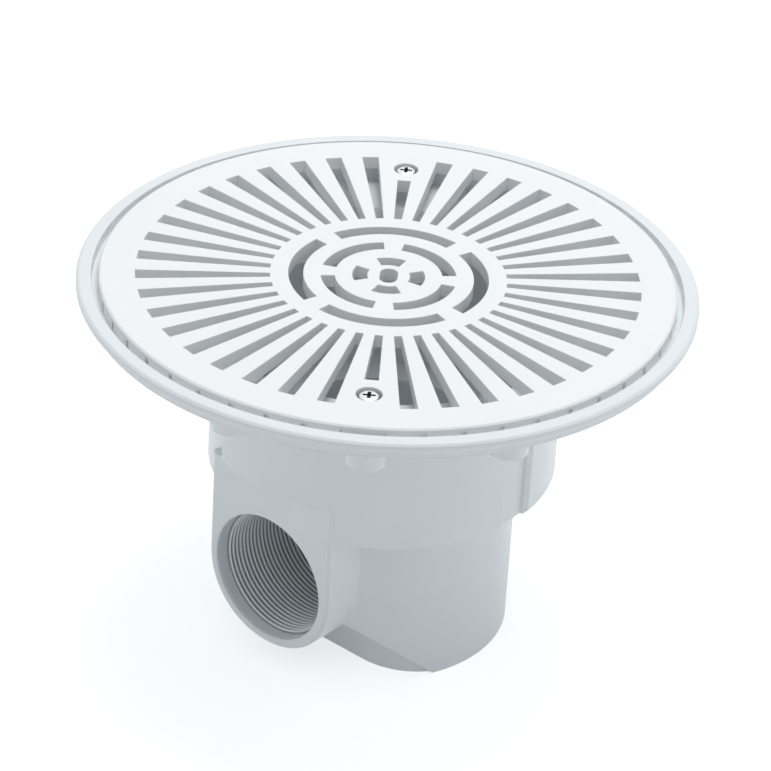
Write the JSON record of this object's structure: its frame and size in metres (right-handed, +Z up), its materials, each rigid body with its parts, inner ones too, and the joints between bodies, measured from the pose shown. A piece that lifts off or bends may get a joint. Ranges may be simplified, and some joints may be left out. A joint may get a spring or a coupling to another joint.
{
  "type": "pool main drain",
  "caption": "Round white pool main drain: a flanged moulded pot and sump with a threaded side outlet, closed by a flat slotted grille held with cross-head screws.",
  "frame": {"origin": "on the main axis, in the plane of the flat bottom of the sump", "axes": "+Z up along the main axis towards the grille; -Y out of the threaded outlet"},
  "size_m": [0.27, 0.27, 0.17],
  "materials": {
    "body_plastic": "satin",
    "grille_plastic": "satin",
    "screw_steel": "brushed"
  },
  "bodies": {
    "root": {"drain_body": "body_plastic", "grille": "grille_plastic", "grille_screws": "screw_steel"}
  },
  "joints": []
}
